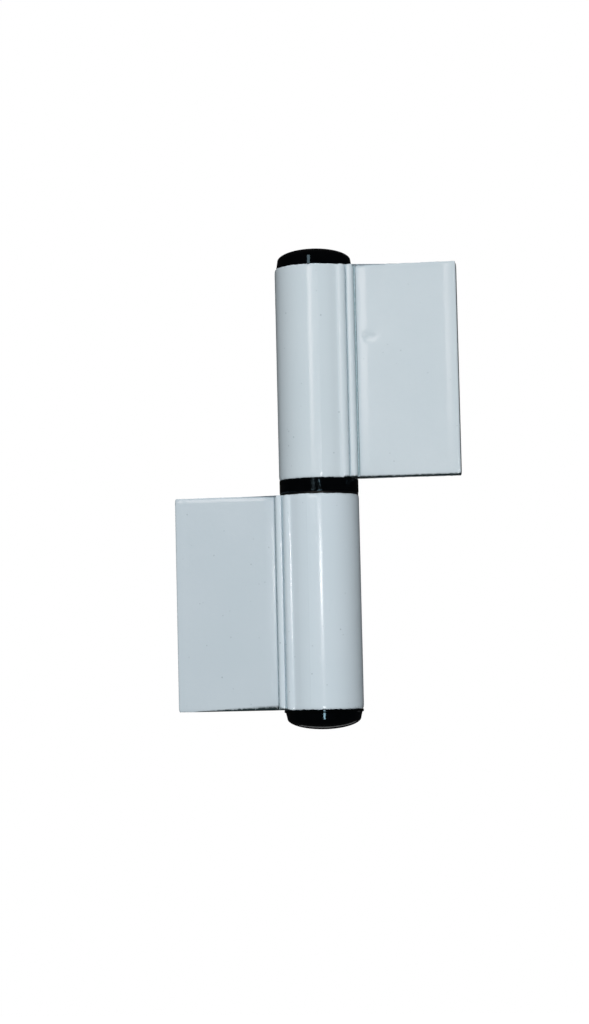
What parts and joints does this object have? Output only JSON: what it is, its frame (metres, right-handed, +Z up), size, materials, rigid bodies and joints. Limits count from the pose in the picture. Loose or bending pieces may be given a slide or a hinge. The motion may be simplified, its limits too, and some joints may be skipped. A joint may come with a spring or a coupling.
{
  "type": "flag hinge",
  "caption": "Lift-off flag hinge for aluminium doors: white powder-coated knuckles on a steel pin, with black end caps and bearing ring.",
  "frame": {"origin": "on the pin's axis at the middle of the black ring between the two knuckles", "axes": "+Z up along the pin, +X towards the upper leaf's free edge, +Y towards the door and frame that the leaves lie on; the visible faces look towards -Y"},
  "size_m": [0.065, 0.018, 0.109],
  "materials": {
    "white_paint": "glossy white powder coat with a faint blue cast",
    "black_plastic": "moulded, semi-gloss",
    "nylon": "satin",
    "steel": "ground and zinc plated"
  },
  "bodies": {
    "lower_side": {"lower_leaf": "white_paint", "lower_bush": "nylon", "lower_cap": "black_plastic", "lower_grub_screw": "steel", "hinge_pin": "steel"},
    "ring": {"bearing_ring": "black_plastic"},
    "upper_side": {"upper_leaf": "white_paint", "upper_bush": "nylon", "upper_cap": "black_plastic", "upper_grub_screw": "steel"}
  },
  "joints": [
    {"name": "swing", "type": "hinge", "parent": "lower_side", "child": "ring", "pos_m": [0, 0, 0], "axis": [0, 0, 1], "continuous": true},
    {"name": "lift_off", "type": "slide", "parent": "ring", "child": "upper_side", "axis": [0, 0, 1], "range_m": [0, 0.04]}
  ]
}
